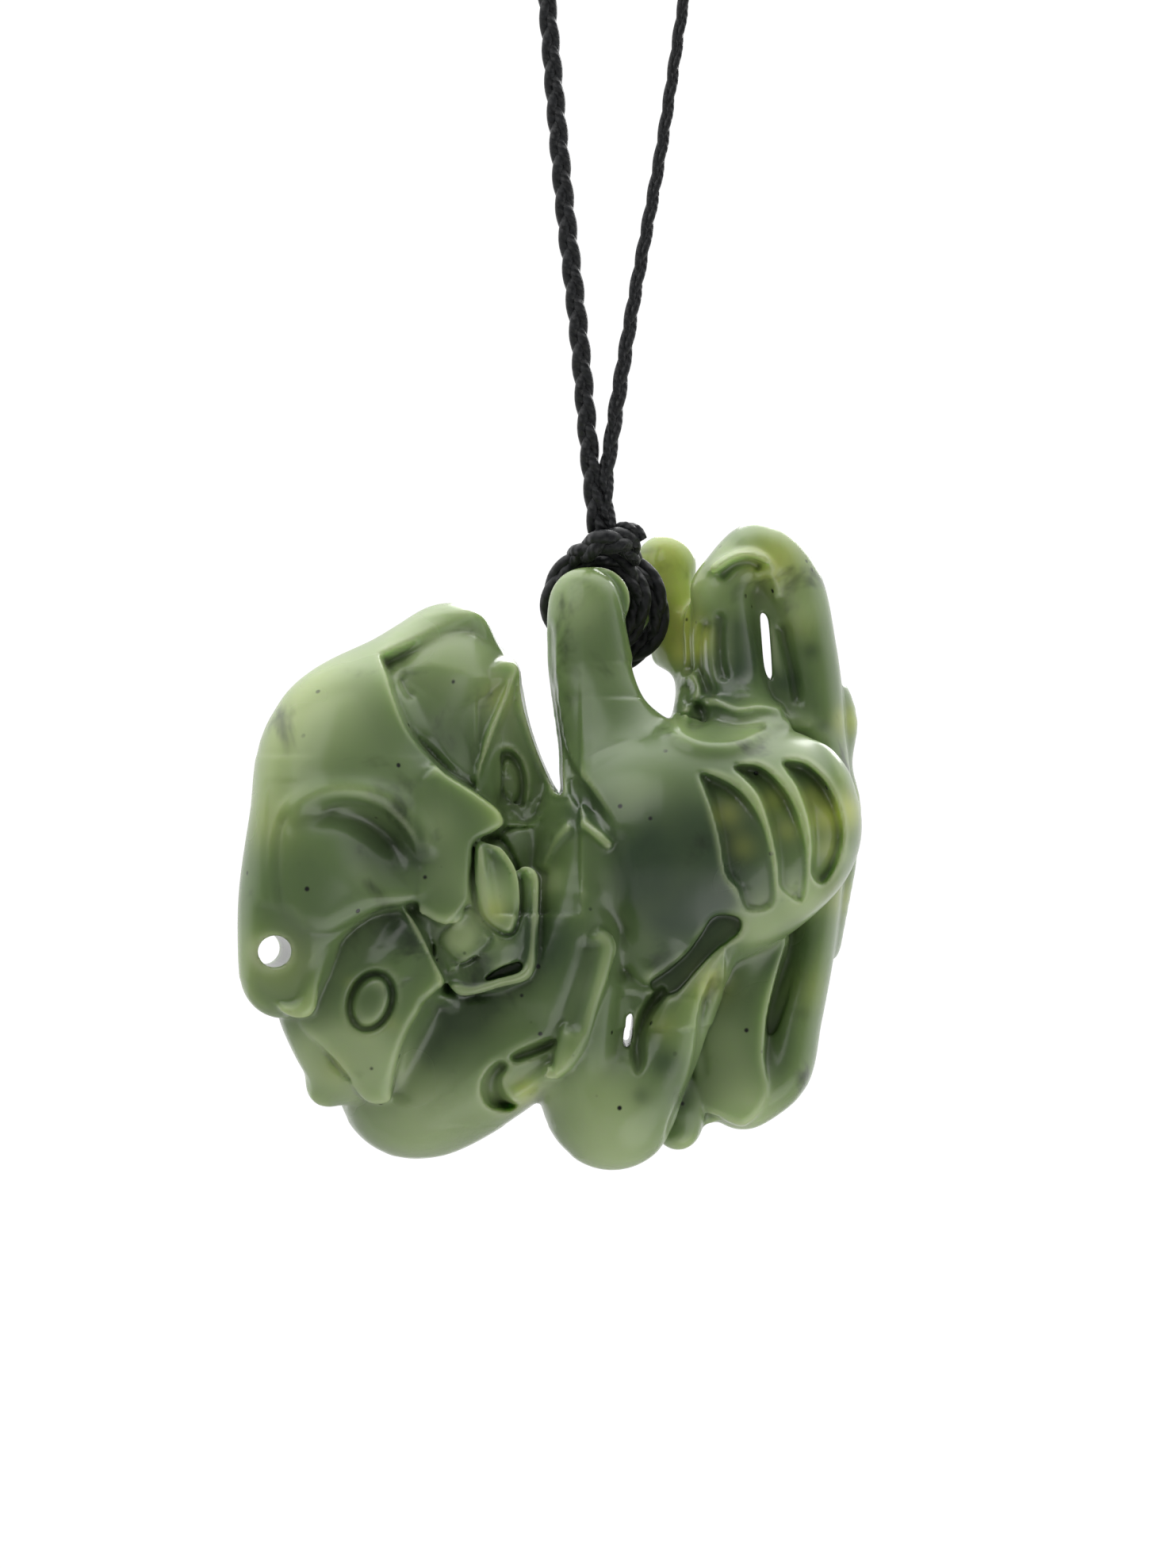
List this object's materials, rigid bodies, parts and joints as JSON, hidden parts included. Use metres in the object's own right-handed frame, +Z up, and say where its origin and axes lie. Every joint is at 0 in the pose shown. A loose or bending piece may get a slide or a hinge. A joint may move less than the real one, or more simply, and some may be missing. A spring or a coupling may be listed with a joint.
{
  "type": "jade pendant",
  "caption": "Pierced jade carving of a curled fantastic animal, hung on a black plaited cord tied round its raised limb.",
  "frame": {"origin": "axis of the round peg that the cord's bight hangs over", "axes": "+Z up along the hanging cord, -Y towards the viewer who sees the animal's head at the left, +X to that viewer's right"},
  "size_m": [0.0482, 0.03, 0.1014],
  "materials": {
    "jade": "polished translucent nephrite",
    "cord": "waxed plaited cord"
  },
  "bodies": {
    "cord": {"cord_left": "cord", "cord_right": "cord", "cord_bight": "cord", "tie_knot": "cord", "tie_tail": "cord", "tie_turn_front": "cord", "tie_turn_back": "cord"},
    "stone": {"jade_carving": "jade"}
  },
  "joints": [
    {"name": "stone_tilt", "type": "hinge", "parent": "cord", "child": "stone", "pos_m": [-0.0016, 0, -0.0507], "axis": [0, 1, 0], "range_deg": [-15, 15]}
  ]
}
